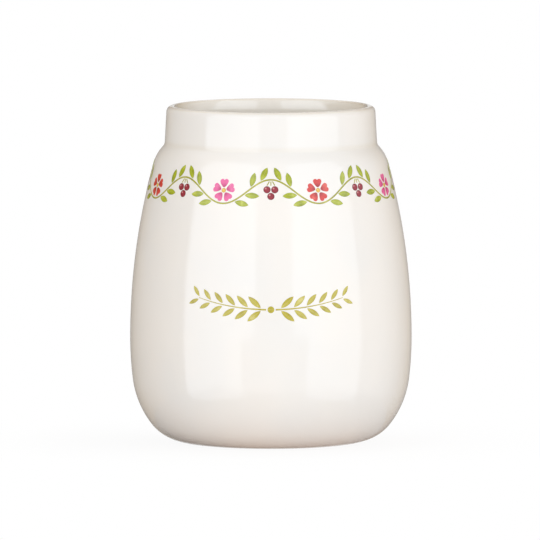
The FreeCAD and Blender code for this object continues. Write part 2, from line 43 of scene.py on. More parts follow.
# The pot's sizes in metres and radians, as in the part's source
OVERALL_HEIGHT = 0.170
COLLAR_HEIGHT = 0.01825
COLLAR_RADIUS = 0.0535
COLLAR_DRAFT = math.radians(3.15)
STEP_RADIUS = 0.0036
LEDGE_LENGTH = 0.0012
LEDGE_LIFT = math.radians(40.6)
SHOULDER_RADIUS = 0.0195
BELLY_HEIGHT = 0.0532
BELLY_SWELL = 0.0175
BELLY_TURN = math.radians(6.9)
LOWER_TURN_RADIUS = 0.047
FOOT_TURN = math.radians(52.5)
BELLY_TUCK = 0.0287
LIP_ROUND = 0.0031
CREST_ROUND = 0.00115
MOUTH_LIFT = math.radians(28)
CLAY_WALL = 0.0048
GLAZE_COAT = 0.0004
FOOT_STAND = 0.0005
FOOT_INSET = 0.0048
FOOT_WIDTH = 0.004
FOOT_ROUND = 0.0006
RECESS_DEPTH = 0.0014
BARE_MARGIN = 0.001

BELLY_RADIUS = COLLAR_RADIUS + BELLY_SWELL
FLAT_RADIUS = BELLY_RADIUS - BELLY_TUCK
FOOT_OUTSIDE = FLAT_RADIUS - FOOT_INSET
FOOT_INSIDE = FOOT_OUTSIDE - FOOT_WIDTH
COLLAR_FOOT = OVERALL_HEIGHT - COLLAR_HEIGHT
WALL = CLAY_WALL + 2 * GLAZE_COAT
LIP_HEIGHT = OVERALL_HEIGHT - LIP_ROUND
COLLAR_LENGTH = (LIP_HEIGHT + LIP_ROUND * math.sin(COLLAR_DRAFT) - COLLAR_FOOT) / math.cos(COLLAR_DRAFT)
MOUTH_TURN = MOUTH_LIFT + COLLAR_DRAFT
MOUTH_INSET = (WALL - LIP_ROUND * (1 - math.sin(COLLAR_DRAFT))
               - CREST_ROUND * (math.sin(COLLAR_DRAFT) + math.cos(MOUTH_TURN)))
MOUTH_RADIUS = MOUTH_INSET / (1 - math.cos(MOUTH_TURN))
MOUTH_DROP = (MOUTH_RADIUS * math.sin(MOUTH_TURN) - LIP_ROUND * math.cos(COLLAR_DRAFT)
              + CREST_ROUND * (math.cos(COLLAR_DRAFT) - math.sin(MOUTH_TURN)))

# How finely the pot is turned
TURN_STEPS = 192
FINE_SPACING = 0.0022
COARSE_SPACING = 0.005
ARC_TURN = math.radians(6)
WELD = 2e-6
CREASE = math.radians(35)
ANGLE_ROUNDS = 30

# The prints' sizes, as in the part's source; here the ink is nearly as thin as fired ink is
INK = 0.00005
PRINT_GAP = 0.0003
GARLAND_DROP = 0.0205
GARLAND_HEIGHT = COLLAR_FOOT - GARLAND_DROP
GARLAND_WAVES = 8
GARLAND_SWAY = 0.006
STEM_WIDTH = 0.0008
STEM_CLEAR = STEM_WIDTH / 2 + PRINT_GAP
STALK_SHARE = 0.6
STALK_WIDTH = STALK_SHARE * STEM_WIDTH
LEAF_LENGTH = 0.0075
LEAF_WIDTH = 0.003
LEAF_SPREAD = math.radians(40)
LEAF_BELLY_SHARE = 0.46
LEAF_PHASE_SHARES = ((0.12, -1), (0.22, -1), (0.30, 1), (0.40, 1))
BLOSSOM_RADIUS = 0.0058
PETAL_COUNT = 5
PETAL_SHARES = ((0.26, 0.05), (0.50, 0.27), (0.76, 0.39), (0.985, 0.25))
NOTCH_SHARE = 0.90
PETAL_HALF_SHARE = 0.39
EYE_SHARE = 0.20
BERRY_RADIUS = 0.0018
BERRY_STALK = 0.0024
BERRY_APART = 2 * BERRY_RADIUS + PRINT_GAP
BERRY_CORNER = math.radians(60)
BERRY_DROP = BERRY_APART * math.sin(BERRY_CORNER)
SPRIG_RISE = 0.023
SPRIG_HEIGHT = BELLY_HEIGHT + SPRIG_RISE
SPRIG_REACH = 0.042
SPRIG_CURL = 0.0065
SPRIG_LEAF_LENGTH = 0.0086
SPRIG_LEAF_WIDTH = 0.0028
SPRIG_PAIRS = 6
SPRIG_BEAD_RADIUS = 0.0017
BRANCH_START_SHARE = 0.12
BRANCH_END_SHARE = 0.90
TIP_LEAF_SHARE = 0.72
TIP_STEM_SHARE = 0.35
OUTLINE_STEPS = 8
ROUND_STEPS = 24
STEM_STEPS = 40


def facing(angle):
    """Direction beside the pot's axis that looks up by an angle from level."""
    return Vector((math.cos(angle), 0, math.sin(angle)))


class Outline:
    """A smooth outline beside the pot's axis, walked along lines and arcs from its start."""

    def __init__(self, radius, height, spacing=FINE_SPACING):
        self.points = [Vector((radius, 0, height))]
        self.spacing = spacing

    def line(self, length, angle):
        """A straight stretch whose outer side looks up by an angle."""
        start = self.points[-1]
        along = facing(angle + RIGHT_ANGLE) * length
        steps = math.ceil(length / self.spacing)
        self.points += [start + along * (step / steps) for step in range(1, steps + 1)]

    def arc(self, radius, before, after):
        """A round stretch that turns the outer side from one angle to another."""
        turn = after - before
        bulge = math.copysign(radius, turn)
        middle = self.points[-1] - facing(before) * bulge
        steps = math.ceil(max(abs(turn) * radius / self.spacing, abs(turn) / ARC_TURN))
        self.points += [middle + facing(before + turn * step / steps) * bulge
                        for step in range(1, steps + 1)]


def lower_radii():
    """Radii of the rounded foot and of the long curve under the widest part, which close the side."""
    corner = RIGHT_ANGLE - FOOT_TURN
    inward = BELLY_TUCK - LOWER_TURN_RADIUS * (math.cos(BELLY_TURN) - math.cos(corner))
    upward = BELLY_HEIGHT - FOOT_STAND - LOWER_TURN_RADIUS * (math.sin(corner) - math.sin(BELLY_TURN))
    foot_in, foot_up = math.cos(corner), 1 - math.sin(corner)
    long_in, long_up = 1 - math.cos(BELLY_TURN), math.sin(BELLY_TURN)
    scale = foot_in * long_up - foot_up * long_in
    return (inward * long_up - upward * long_in) / scale, (foot_in * upward - foot_up * inward) / scale


def upper_curve():
    """Radius of the belly's upper curve and the angle at which it meets the shoulder round."""
    ledge_out = (STEP_RADIUS * (math.cos(COLLAR_DRAFT) - math.cos(LEDGE_LIFT))
                 + LEDGE_LENGTH * math.sin(LEDGE_LIFT))
    ledge_down = (STEP_RADIUS * (math.sin(LEDGE_LIFT) - math.sin(COLLAR_DRAFT))
                  + LEDGE_LENGTH * math.cos(LEDGE_LIFT))
    angle = 0.0
    for _ in range(ANGLE_ROUNDS):
        swell = BELLY_SWELL - ledge_out - SHOULDER_RADIUS * (math.cos(angle) - math.cos(LEDGE_LIFT))
        rise = (COLLAR_FOOT - BELLY_HEIGHT - ledge_down
                - SHOULDER_RADIUS * (math.sin(LEDGE_LIFT) - math.sin(angle)))
        angle = 2 * math.atan2(swell, rise)
    return rise / math.sin(angle), angle


FOOT_RADIUS, LONG_RADIUS = lower_radii()
UPPER_RADIUS, SHOULDER_ANGLE = upper_curve()


def walk_side(outline, depth, collar_length=COLLAR_LENGTH):
    """Walks up the pot's side at a depth in its wall, from the underside to the top of the collar."""
    outline.line(FLAT_RADIUS - outline.points[-1].x, -RIGHT_ANGLE)
    outline.arc(FOOT_RADIUS - depth, -RIGHT_ANGLE, FOOT_TURN - RIGHT_ANGLE)
    outline.arc(LOWER_TURN_RADIUS - depth, FOOT_TURN - RIGHT_ANGLE, -BELLY_TURN)
    outline.arc(LONG_RADIUS - depth, -BELLY_TURN, 0)
    outline.arc(UPPER_RADIUS - depth, 0, SHOULDER_ANGLE)
    outline.arc(SHOULDER_RADIUS - depth, SHOULDER_ANGLE, LEDGE_LIFT)
    outline.line(LEDGE_LENGTH, LEDGE_LIFT)
    outline.arc(STEP_RADIUS + depth, LEDGE_LIFT, COLLAR_DRAFT)
    outline.line(collar_length, COLLAR_DRAFT)


def over_the_lip(outline, depth):
    """Carries an outline at a depth in the wall over the lip and down inside to the floor's middle."""
    outline.arc(LIP_ROUND - depth, COLLAR_DRAFT, RIGHT_ANGLE)
    outline.arc(CREST_ROUND - depth, RIGHT_ANGLE, math.pi - MOUTH_LIFT)
    outline.arc(MOUTH_RADIUS - depth, math.pi - MOUTH_LIFT, math.pi + COLLAR_DRAFT)
    inside = WALL - depth
    liner = Outline(0, FOOT_STAND + inside, outline.spacing)
    walk_side(liner, inside, COLLAR_LENGTH - MOUTH_DROP)
    outline.points += liner.points[-2::-1]


def deselect():
    """Leaves edit mode and clears the selection."""
    if bpy.context.object and bpy.context.object.mode != "OBJECT":
        bpy.ops.object.mode_set(mode="OBJECT")
    bpy.ops.object.select_all(action="DESELECT")


def trace(name, points):
    """Draws a chain of edges through some points, one extrusion after another; stays in edit mode."""
    deselect()
    bpy.ops.mesh.primitive_plane_add(size=FINE_SPACING, location=(0, 0, 0))
    piece = bpy.context.object
    piece.name = piece.data.name = name
    bpy.ops.object.mode_set(mode="EDIT")
    bpy.ops.mesh.merge(type="CENTER")
    bpy.ops.transform.translate(value=points[0])
    for before, after in zip(points, points[1:]):
        bpy.ops.mesh.extrude_region_move(TRANSFORM_OT_translate={"value": after - before})
    bpy.ops.mesh.select_all(action="SELECT")
    return piece


def lathe(name, points):
    """A solid turned about the pot's axis from an outline that is closed or starts and ends on the axis."""
    piece = trace(name, points)
    bpy.ops.mesh.spin(steps=TURN_STEPS, angle=FULL_TURN, center=(0, 0, 0), axis=UP)
    bpy.ops.mesh.select_all(action="SELECT")
    bpy.ops.mesh.remove_doubles(threshold=WELD)
    bpy.ops.mesh.delete_loose(use_verts=True, use_edges=True, use_faces=False)
    bpy.ops.mesh.select_all(action="SELECT")
    bpy.ops.mesh.normals_make_consistent(inside=False)
    bpy.ops.object.mode_set(mode="OBJECT")
    bpy.ops.object.shade_smooth_by_angle(angle=CREASE)
    return piece


def glaze_coat():
    """The glaze, one coat from beside the foot ring, over the lip, to the middle of the floor."""
    edge = FOOT_OUTSIDE + BARE_MARGIN
    face = Outline(edge, FOOT_STAND + GLAZE_COAT)
    face.arc(GLAZE_COAT, -math.pi, -RIGHT_ANGLE)
    back = Outline(edge, FOOT_STAND + GLAZE_COAT, COARSE_SPACING)
    for outline, depth in ((face, 0), (back, GLAZE_COAT)):
        walk_side(outline, depth)
        over_the_lip(outline, depth)
    return lathe("glaze_coat", face.points + back.points[::-1])


def clay_pot():
    """The clay under the glaze, with its bare foot ring."""
    outline = Outline(0, RECESS_DEPTH, COARSE_SPACING)
    outline.line(FOOT_INSIDE, -RIGHT_ANGLE)
    outline.line(RECESS_DEPTH - FOOT_ROUND, -math.pi)
    outline.arc(FOOT_ROUND, -math.pi, -RIGHT_ANGLE)
    outline.line(FOOT_WIDTH - 2 * FOOT_ROUND, -RIGHT_ANGLE)
    outline.arc(FOOT_ROUND, -RIGHT_ANGLE, 0)
    outline.line(FOOT_STAND + GLAZE_COAT - FOOT_ROUND, 0)
    walk_side(outline, GLAZE_COAT)
    over_the_lip(outline, GLAZE_COAT)
    return lathe("clay_pot", outline.points)


def base_disc():
    """The glazed disc in the hollow of the base, with a rolled edge."""
    radius = FOOT_INSIDE - BARE_MARGIN
    outline = Outline(0, RECESS_DEPTH - GLAZE_COAT)
    outline.line(radius - GLAZE_COAT, -RIGHT_ANGLE)
    outline.arc(GLAZE_COAT, -RIGHT_ANGLE, 0)
    outline.line(radius, RIGHT_ANGLE)
    return lathe("base_disc", outline.points)


def pot_radius(height):
    """Radius of the glazed face at a height on the belly's upper curve."""
    lift = math.asin((height - BELLY_HEIGHT) / UPPER_RADIUS)
    return BELLY_RADIUS - UPPER_RADIUS + UPPER_RADIUS * math.cos(lift)


def on_pot(azimuth, height):
    """Frame on the glazed face: X to the right, Y up along it, Z out of it; azimuth 0 is the front."""
    lift = math.asin((height - BELLY_HEIGHT) / UPPER_RADIUS)
    turn = Matrix.Rotation(azimuth, 4, "Z")
    place = Matrix.Translation((0, -pot_radius(height), height))
    return turn @ place @ Matrix.Rotation(RIGHT_ANGLE - lift, 4, "X")


def flat_turn(angle):
    """A turn in a spot's own plane."""
    return Matrix.Rotation(angle, 4, "Z")


def arc_through(first, middle, last):
    """Points after the first along the flat arc through three points."""
    to_middle, to_last = middle - first, last - first
    side = to_middle.x * to_last.y - to_middle.y * to_last.x
    near, far = to_middle.dot(to_middle), to_last.dot(to_last)
    offset = Vector((to_last.y * near - to_middle.y * far, to_middle.x * far - to_last.x * near, 0))
    centre = first + offset / (2 * side)
    arm, goal = first - centre, last - centre
    turn = math.atan2(arm.x * goal.y - arm.y * goal.x, arm.dot(goal))
    if turn * side < 0:
        turn += math.copysign(FULL_TURN, side)
    return [centre + Matrix.Rotation(turn * step / OUTLINE_STEPS, 3, "Z") @ arm
            for step in range(1, OUTLINE_STEPS + 1)]


def flat_spot(name, points, length, half_width):
    """A flat spot of ink in the XY plane, with a UV map that runs along and across it."""
    spot = trace(name, points + points[:1])
    bpy.ops.mesh.remove_doubles(threshold=WELD)
    bpy.ops.mesh.edge_face_add()
    bpy.ops.mesh.quads_convert_to_tris(ngon_method="BEAUTY")
    bpy.ops.mesh.subdivide(number_cuts=1)
    bpy.ops.object.mode_set(mode="OBJECT")
    if spot.data.polygons[0].normal.z < 0:
        spot.data.flip_normals()
    layer = spot.data.uv_layers.new(name="print")
    for loop in spot.data.loops:
        place = spot.data.vertices[loop.vertex_index].co
        layer.data[loop.index].uv = (place.x / length, place.y / half_width)
    return spot


def leaf_spot(length, width):
    """A pointed leaf that grows along X."""
    base, tip = Vector((0, 0, 0)), Vector((length, 0, 0))
    low = Vector((length * LEAF_BELLY_SHARE, -width / 2, 0))
    high = Vector((low.x, width / 2, 0))
    points = [base] + arc_through(base, low, tip) + arc_through(tip, high, base)[:-1]
    return flat_spot("leaf", points, length, width / 2)


def petal_spot():
    """A notched petal that grows along X from a blossom's eye."""
    right = [Vector((out, -across, 0)) * BLOSSOM_RADIUS for out, across in PETAL_SHARES]
    left = [Vector((point.x, -point.y, 0)) for point in right]
    notch = Vector((NOTCH_SHARE * BLOSSOM_RADIUS, 0, 0))
    points = [right[0]] + arc_through(*right[:3]) + arc_through(right[2], right[3], notch)
    points += arc_through(notch, left[3], left[2]) + arc_through(*left[2::-1])
    return flat_spot("petal", points, BLOSSOM_RADIUS, BLOSSOM_RADIUS * PETAL_HALF_SHARE)


def round_spot(radius):
    """A round spot."""
    start = Vector((radius, 0, 0))
    points = [Matrix.Rotation(FULL_TURN * step / ROUND_STEPS, 3, "Z") @ start
              for step in range(ROUND_STEPS)]
    return flat_spot("spot", points, radius, radius)


def stalk_spot(root, foot):
    """A thin straight stalk from the stem to a berry."""
    along = (foot - root).normalized()
    across = Vector((-along.y, along.x, 0)) * STALK_WIDTH / 2
    points = [root + across, foot + across, foot - across, root - across]
    return flat_spot("stalk", points, BERRY_STALK, STALK_WIDTH)


def join(name, pieces):
    """Joins some pieces into one that sits at the origin."""
    deselect()
    bpy.context.view_layer.update()
    for piece in pieces:
        piece.select_set(True)
    bpy.context.view_layer.objects.active = pieces[0]
    bpy.ops.object.join()
    whole = bpy.context.object
    whole.name = whole.data.name = name
    bpy.ops.object.transform_apply(location=True, rotation=True, scale=True)
    return whole


def copies(spot, places):
    """Copies of a spot at some places; the spot itself is used up."""
    made = []
    for place in places:
        copy = spot.copy()
        copy.data = spot.data.copy()
        bpy.context.collection.objects.link(copy)
        copy.matrix_world = place
        made.append(copy)
    bpy.data.objects.remove(spot)
    return made


def strip(path, first, last, widths):
    """A narrow line along a path of azimuth and height on the pot, bridged between its two edges."""
    edges = []
    for side in (-1, 1):
        points = []
        for step in range(STEM_STEPS + 1):
            share = step / STEM_STEPS
            azimuth = first + share * (last - first)
            height, slope = path(azimuth)
            half = side * (widths[0] + share * (widths[1] - widths[0])) / 2
            offset = Vector((-math.sin(slope) * half, math.cos(slope) * half, 0))
            points.append(on_pot(azimuth, height) @ offset)
        edges.append(trace("line", points))
        bpy.ops.object.mode_set(mode="OBJECT")
    line = join("line", edges)
    bpy.ops.object.mode_set(mode="EDIT")
    bpy.ops.mesh.select_all(action="SELECT")
    bpy.ops.mesh.bridge_edge_loops()
    bpy.ops.object.mode_set(mode="OBJECT")
    middle = line.data.polygons[0].center
    if line.data.polygons[0].normal.dot(Vector((middle.x, middle.y, 0))) < 0:
        line.data.flip_normals()
    line.data.uv_layers.new(name="print")
    return line


def lay_on(piece, pot):
    """Presses a print on to the glaze and gives it the thickness of fired ink."""
    deselect()
    piece.select_set(True)
    bpy.context.view_layer.objects.active = piece
    bpy.ops.object.mode_set(mode="EDIT")
    bpy.ops.mesh.select_all(action="SELECT")
    bpy.ops.mesh.remove_doubles(threshold=WELD)
    bpy.ops.object.mode_set(mode="OBJECT")
    wrap = piece.modifiers.new("wrap", "SHRINKWRAP")
    wrap.target = pot
    wrap.wrap_method = "NEAREST_SURFACEPOINT"
    wrap.wrap_mode = "ABOVE_SURFACE"
    wrap.offset = INK
    body = piece.modifiers.new("body", "SOLIDIFY")
    body.thickness = INK
    body.offset = -1
    for name in ("wrap", "body"):
        bpy.ops.object.modifier_apply(modifier=name)
    bpy.ops.object.shade_smooth_by_angle(angle=CREASE)


WAVE = FULL_TURN / GARLAND_WAVES
TROUGHS = [WAVE / 2 + WAVE * wave for wave in range(GARLAND_WAVES)]
SPRIG_LOW = SPRIG_HEIGHT - SPRIG_CURL / 2
SPRIG_TURN = SPRIG_REACH / pot_radius(SPRIG_HEIGHT)


def vine(azimuth):
    """Height and slope of the garland's stem, seen from the middle of a trough."""
    phase = azimuth * GARLAND_WAVES
    height = GARLAND_HEIGHT - GARLAND_SWAY * math.cos(phase)
    return height, math.atan2(GARLAND_SWAY * GARLAND_WAVES * math.sin(phase), pot_radius(height))


def branch(azimuth):
    """Height and slope of the front sprig's stem, seen from its bead."""
    share = azimuth / SPRIG_TURN
    return SPRIG_LOW + SPRIG_CURL * share * share, math.atan2(2 * SPRIG_CURL * share, SPRIG_REACH)


def leaf_places(path, azimuth, side, scale=1.0):
    """Frames of a leaf beside a stem and of its image on the other side of azimuth 0."""
    height, slope = path(azimuth)
    clear = Matrix.Translation((0, side * STEM_CLEAR, 0))
    image_clear = Matrix.Translation((0, -side * STEM_CLEAR, 0))
    grown = Matrix.Scale(scale, 4)
    return [on_pot(azimuth, height) @ flat_turn(slope) @ clear @ flat_turn(side * LEAF_SPREAD) @ grown,
            on_pot(-azimuth, height) @ flat_turn(math.pi - slope) @ image_clear
            @ flat_turn(-side * LEAF_SPREAD) @ grown]


def turned_round(places, troughs=TROUGHS):
    """The same frames at some troughs of the garland."""
    return [Matrix.Rotation(trough, 4, "Z") @ place for trough in troughs for place in places]


def berry_cluster():
    """Frame halfway between the upper two berries under a crest."""
    return on_pot(WAVE / 2, GARLAND_HEIGHT + GARLAND_SWAY - STEM_CLEAR - BERRY_STALK - BERRY_RADIUS)


def garland_stems():
    """The wavy stem round the shoulder and the berries' stalks."""
    pieces = copies(strip(vine, -WAVE / 2, WAVE / 2, (STEM_WIDTH, STEM_WIDTH)),
                    turned_round([Matrix.Identity(4)]))
    for side in (-1, 0, 1):
        root = Vector((side * (STALK_WIDTH + PRINT_GAP), BERRY_RADIUS + BERRY_STALK, 0))
        foot = Vector((side * BERRY_APART / 2, BERRY_RADIUS + PRINT_GAP, 0))
        pieces += copies(stalk_spot(root, foot), turned_round([berry_cluster()]))
    return join("garland_stems", pieces)


def garland_leaves():
    """The leaves along the garland."""
    places = []
    for share, side in LEAF_PHASE_SHARES:
        places += leaf_places(vine, share * WAVE, side)
    return join("garland_leaves", copies(leaf_spot(LEAF_LENGTH, LEAF_WIDTH), turned_round(places)))


def blossom():
    """Frame of the blossom over a trough."""
    return on_pot(0, GARLAND_HEIGHT - GARLAND_SWAY + STEM_CLEAR + BLOSSOM_RADIUS)


def petals(name, troughs):
    """The petals of the blossoms of one colour."""
    places = [blossom() @ flat_turn(RIGHT_ANGLE + FULL_TURN * number / PETAL_COUNT)
              for number in range(PETAL_COUNT)]
    return join(name, copies(petal_spot(), turned_round(places, troughs)))


def blossom_eyes():
    """The eyes of all the blossoms."""
    return join("blossom_eyes", copies(round_spot(BLOSSOM_RADIUS * EYE_SHARE), turned_round([blossom()])))


def berries():
    """Three berries under each crest of the garland."""
    places = [berry_cluster() @ Matrix.Translation(offset) for offset in
              ((-BERRY_APART / 2, 0, 0), (0, -BERRY_DROP, 0), (BERRY_APART / 2, 0, 0))]
    return join("berries", copies(round_spot(BERRY_RADIUS), turned_round(places)))


def front_sprig():
    """The leafy sprig on the front: two branches and a bead between them."""
    first = (SPRIG_BEAD_RADIUS + STEM_CLEAR) / pot_radius(SPRIG_LOW)
    last = SPRIG_TURN * BRANCH_END_SHARE
    widths = (STEM_WIDTH, STEM_WIDTH * TIP_STEM_SHARE)
    pieces = [strip(branch, side * first, side * last, widths) for side in (-1, 1)]
    places = []
    for number in range(SPRIG_PAIRS):
        along = number / (SPRIG_PAIRS - 1)
        share = BRANCH_START_SHARE + along * (BRANCH_END_SHARE - BRANCH_START_SHARE)
        for side in (-1, 1):
            places += leaf_places(branch, share * SPRIG_TURN, side, 1 + along * (TIP_LEAF_SHARE - 1))
    pieces += copies(leaf_spot(SPRIG_LEAF_LENGTH, SPRIG_LEAF_WIDTH), places)
    pieces += copies(round_spot(SPRIG_BEAD_RADIUS), [on_pot(0, SPRIG_LOW)])
    return join("front_sprig", pieces)


# Which of a Mix node's sockets are for colours
MIX_FIRST, MIX_SECOND, MIX_RESULT = 6, 7, 2


def linear(red, green, blue):
    """A colour given in screen values of 0 to 255, turned into light by the standard screen curve."""
    shares = [value / 255 for value in (red, green, blue)]
    return tuple(share / 12.92 if share <= 0.04045 else ((share + 0.055) / 1.055) ** 2.4
                 for share in shares) + (1.0,)


class Value:
    """A number that changes over a surface; sums and products of values become Math nodes."""

    def __init__(self, finish, socket):
        self.finish = finish
        self.socket = socket

    def combine(self, operation, *operands):
        """The result of a Math node."""
        return self.finish.node("ShaderNodeMath", {"operation": operation}, dict(enumerate(operands)))

    def __add__(self, other):
        return self.combine("ADD", self, other)

    def __sub__(self, other):
        return self.combine("SUBTRACT", self, other)

    def __rsub__(self, other):
        return self.combine("SUBTRACT", other, self)

    def __mul__(self, other):
        return self.combine("MULTIPLY", self, other)

    def __truediv__(self, other):
        return self.combine("DIVIDE", self, other)

    def __abs__(self):
        return self.combine("ABSOLUTE", self)

    def most(self, other):
        return self.combine("MAXIMUM", self, other)

    def root(self):
        return self.combine("SQRT", self)

    def rise(self, low, high):
        """A soft step from 0 at one value to 1 at another; the first may be the greater."""
        flip = low > high
        ends = (high, low) if flip else (low, high)
        step = self.finish.node("ShaderNodeMapRange", {"interpolation_type": "SMOOTHSTEP"},
                                {"Value": self, "From Min": ends[0], "From Max": ends[1]})
        return 1 - step if flip else step

    __radd__ = __add__
    __rmul__ = __mul__


class Nodes:
    """The nodes of a material or of the surroundings."""

    def __init__(self, tree):
        self.tree = tree
        self.tree.nodes.clear()

    def node(self, kind, settings=None, inputs=None, output=0):
        """Adds a node: its settings first, then its sockets' values or links; gives one of its outputs."""
        made = self.tree.nodes.new(kind)
        for name, setting in (settings or {}).items():
            setattr(made, name, setting)
        for name, value in (inputs or {}).items():
            if isinstance(value, Value):
                self.tree.links.new(value.socket, made.inputs[name])
            else:
                made.inputs[name].default_value = value
        return Value(self, made.outputs[output]) if made.outputs else None

    def seen_directly(self):
        """1 where the camera, a reflection or a clear piece looks, and 0 for the light on matt surfaces."""
        rays = [self.node("ShaderNodeLightPath", output=name)
                for name in ("Is Camera Ray", "Is Glossy Ray", "Is Transmission Ray")]
        return rays[0].most(rays[1]).most(rays[2])


class Finish(Nodes):
    """A material and the nodes that make its look."""

    def __init__(self, name):
        self.material = bpy.data.materials.new(name)
        self.material.use_nodes = True
        super().__init__(self.material.node_tree)

    def place(self):
        """The place on the object, in its own coordinates."""
        return self.node("ShaderNodeTexCoord", output="Object")

    def parts(self, vector):
        """The three parts of a vector."""
        return [self.node("ShaderNodeSeparateXYZ", inputs={0: vector}, output=axis) for axis in "XYZ"]

    def along_print(self):
        """How far along and across a spot of ink a place is."""
        return self.parts(self.node("ShaderNodeUVMap", {"uv_map": "print"}))[:2]

    def noise(self, size, detail=2.0, shift=0.0):
        """A cloudy pattern from 0 to 1 with patches of about a size in metres."""
        place = self.node("ShaderNodeVectorMath", {"operation": "ADD"}, {0: self.place(), 1: (shift,) * 3})
        inputs = {"Vector": place, "Scale": 1 / size, "Detail": detail}
        return self.node("ShaderNodeTexNoise", inputs=inputs)

    def mix(self, share, first, second):
        """A colour between two others."""
        inputs = {0: share, MIX_FIRST: first, MIX_SECOND: second}
        return self.node("ShaderNodeMix", {"data_type": "RGBA"}, inputs, output=MIX_RESULT)

    def bump(self, height, distance, under=None):
        """A surface that rises by a distance in metres where a pattern goes from 0 to 1."""
        inputs = {"Height": height, "Distance": distance, "Strength": 1.0}
        if under:
            inputs["Normal"] = under
        return self.node("ShaderNodeBump", inputs=inputs)

    def end(self, shader):
        """Ends the material in a shader."""
        self.node("ShaderNodeOutputMaterial", inputs={"Surface": shader})
        return self.material

    def surface(self, **sockets):
        """Ends the material in one glossy or matt surface."""
        inputs = {name.replace("_", " "): value for name, value in sockets.items()}
        return self.end(self.node("ShaderNodeBsdfPrincipled", inputs=inputs))


# The glaze: tones, sizes of its patterns in metres, the values between which they come in, and their shares
CERAMIC_IOR = 1.56
WHITE_GLAZE = linear(248, 245, 239)
COOL_GLAZE = linear(244, 243, 239)
# Painted warm bounce light, for where the pot is narrow
PAINTED_BOUNCE_GLAZE = linear(250, 246, 237)
# Thin glaze on the foot; on the lip, thin glaze and painted shade
THIN_GLAZE_AND_LIP_SHADE = linear(236, 226, 209)
# Glaze pooled in the step, and painted shade there
POOLED_GLAZE_AND_STEP_SHADE = linear(238, 233, 221)
SPECK = linear(196, 184, 164)
SMOOTH_DETAIL = 1.0
SWELL_SIZE, SWELL_RISE = 0.030, 0.00022
PEEL_SIZE, PEEL_RISE = 0.0032, 0.000004
CLOUD_SIZE, CLOUD_ENDS = 0.045, (0.35, 0.70)
NARROW_ENDS = (0.0500, 0.0490)
PATCH_SIZE, PATCH_ENDS, PATCH_LEAST = 0.006, (0.2, 0.8), 0.5
# The band on the lip is partly thin glaze and partly painted shade
LIP_THIN_AND_SHADE_ENDS = (OVERALL_HEIGHT - 0.0011, OVERALL_HEIGHT - 0.0007)
LIP_THIN_AND_SHADE_SHARE = 0.5
THIN_FOOT_ENDS = (0.0045, 0.0006)
THIN_FOOT_RADII = (FLAT_RADIUS + 0.004, FOOT_OUTSIDE)
THIN_FOOT_SHARE = 0.6
# The step's darker band is partly pooled glaze and partly painted shade
POOL_AND_SHADE_HEIGHT, POOL_AND_SHADE_REACH = COLLAR_FOOT - 0.0004, 0.0022
POOL_AND_SHADE_RADII = (COLLAR_RADIUS - 0.003, COLLAR_RADIUS - 0.001)
POOL_AND_SHADE_SHARE = 0.45
SPECKS_APART, SPECK_ENDS, SPECK_SHARE = 0.007, (0.035, 0.018), 0.35
SPECKLED_SIZE, SPECKLED_SHIFT, SPECKLED_ENDS = 0.02, 0.3, (0.55, 0.62)
GLAZE_ROUGHNESS, GLAZE_UNEVEN, GLAZE_UNEVEN_SIZE = 0.07, 0.05, 0.012
LIP_COAT_ENDS = (0.1640, 0.1665)

# The bare clay, in the same way
BUFF_CLAY = linear(228, 217, 197)
DARK_CLAY = linear(216, 201, 178)
GRAIN_CLAY = linear(188, 168, 140)
CLAY_CLOUD_SIZE, CLAY_CLOUD_ENDS = 0.014, (0.3, 0.7)
GRAIN_SIZE, GRAIN_DETAIL, GRAIN_RISE = 0.0011, 4.0, 0.00005
GRAIN_ENDS, GRAIN_SHARE = (0.60, 0.72), 0.5
CLAY_ROUGHNESS, CLAY_UNEVEN = 0.82, 0.14

# The inks of leaves, stems and petals: a deep, a middle and a pale tone
LIME_TONES = (linear(140, 152, 30), linear(171, 181, 42), linear(203, 210, 92))
GOLD_TONES = (linear(172, 158, 38), linear(190, 178, 58), linear(216, 206, 116))
OLIVE_TONES = (linear(146, 148, 40), linear(172, 170, 58), linear(197, 192, 92))
RED_TONES = (linear(158, 34, 44), linear(214, 58, 50), linear(232, 106, 92))
PINK_TONES = (linear(190, 44, 108), linear(236, 98, 160), linear(246, 152, 194))

# The inks of round spots: the middle, the rim and a spark
YELLOW_TONES = (linear(234, 196, 74), linear(206, 150, 46), linear(246, 226, 140))
MAROON_TONES = (linear(158, 52, 66), linear(122, 34, 50), linear(226, 160, 160))

# How the inks' patterns come in, by shares of a spot's length and half width where no size is named
INK_ROUGHNESS, INK_UNEVEN, INK_UNEVEN_SIZE = 0.09, 0.06, 0.004
WASH_DETAIL, WASH_DEEP_ENDS, WASH_PALE_ENDS = 3.0, (0.30, 0.52), (0.52, 0.74)
LEAF_WASH_SIZE, PETAL_WASH_SIZE, STEM_WASH_SIZE = 0.004, 0.005, 0.006
LEAF_LEAST = 0.05
LEAF_RIM_ENDS, LEAF_RIM_SHARE = (0.55, 1.0), 0.45
RIB_TAPER, RIB_ENDS, RIB_TIP_ENDS, RIB_SHARE = 0.05, (0.08, 0.02), (0.97, 0.80), 0.55
FAN_LEAST = 0.2
STREAKS, STREAK_DETAIL, STREAK_MIDDLE, STREAK_REACH = 5, 2.0, 0.5, 0.5
PETAL_ROOT_ENDS, PETAL_ROOT_SHARE = (0.72, 0.30), 0.85
PETAL_EDGE_ENDS, PETAL_EDGE_SHARE = (0.88, 0.99), 0.4
SPOT_RIM_ENDS = (0.55, 1.0)
MOTTLE_SIZE, MOTTLE_ENDS, MOTTLE_SHARE = 0.002, (0.45, 0.75), 0.35
SPARK_LEFT, SPARK_UP = 0.34, 0.36
SPARK_ENDS, SPARK_SHARE = (0.32, 0.16), 0.75


